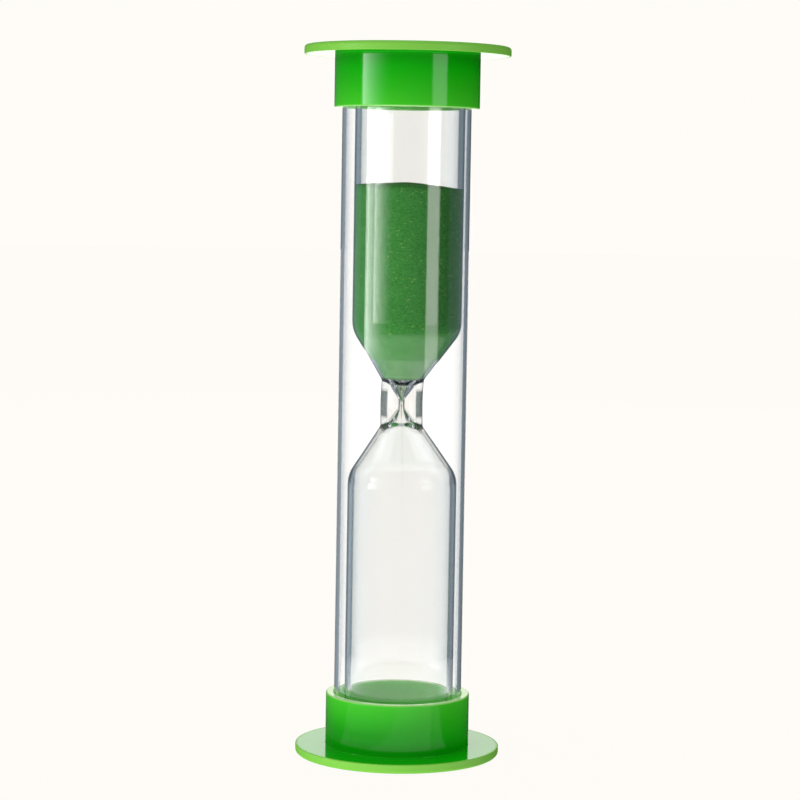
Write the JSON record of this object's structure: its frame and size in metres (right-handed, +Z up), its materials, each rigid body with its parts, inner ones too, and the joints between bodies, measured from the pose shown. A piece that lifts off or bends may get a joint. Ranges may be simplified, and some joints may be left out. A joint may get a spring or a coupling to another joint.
{
  "type": "sand timer",
  "caption": "Small sand timer: a glass bulb of coloured sand inside a clear tube between flanged plastic end caps; the sand levels run down and up together.",
  "frame": {"origin": "centre of the lower cap's flat base", "axes": "+Z up along the tube, from the lower cap to the upper cap"},
  "size_m": [0.0272, 0.0272, 0.094],
  "materials": {
    "cap_plastic": "gloss",
    "clear_plastic": "polished",
    "bulb_glass": "polished",
    "stopper_rubber": "matte",
    "foam": "matte",
    "sand": "matte"
  },
  "bodies": {
    "timer_body": {"lower_cap": "cap_plastic", "upper_cap": "cap_plastic", "outer_tube": "clear_plastic", "glass_bulb": "bulb_glass", "bulb_stopper": "stopper_rubber", "lower_cushion": "foam", "upper_cushion": "foam", "funnel_sand": "sand", "upper_sand_column": "sand", "sand_stream": "sand", "lower_sand_bed": "sand", "lower_sand_column": "sand"},
    "upper_sand_level": {"upper_sand_surface": "sand"},
    "lower_sand_level": {"lower_sand_heap": "sand"}
  },
  "joints": [
    {"name": "upper_sand_runs_down", "type": "slide", "parent": "timer_body", "child": "upper_sand_level", "axis": [0, 0, -1], "range_m": [0, 0.017], "deforming": ["upper_sand_column"]},
    {"name": "lower_sand_piles_up", "type": "slide", "parent": "timer_body", "child": "lower_sand_level", "axis": [0, 0, 1], "range_m": [0, 0.017], "deforming": ["lower_sand_column", "sand_stream"]}
  ],
  "couplings": [
    {"joint": "lower_sand_piles_up", "follows": "upper_sand_runs_down", "ratio": 1}
  ]
}
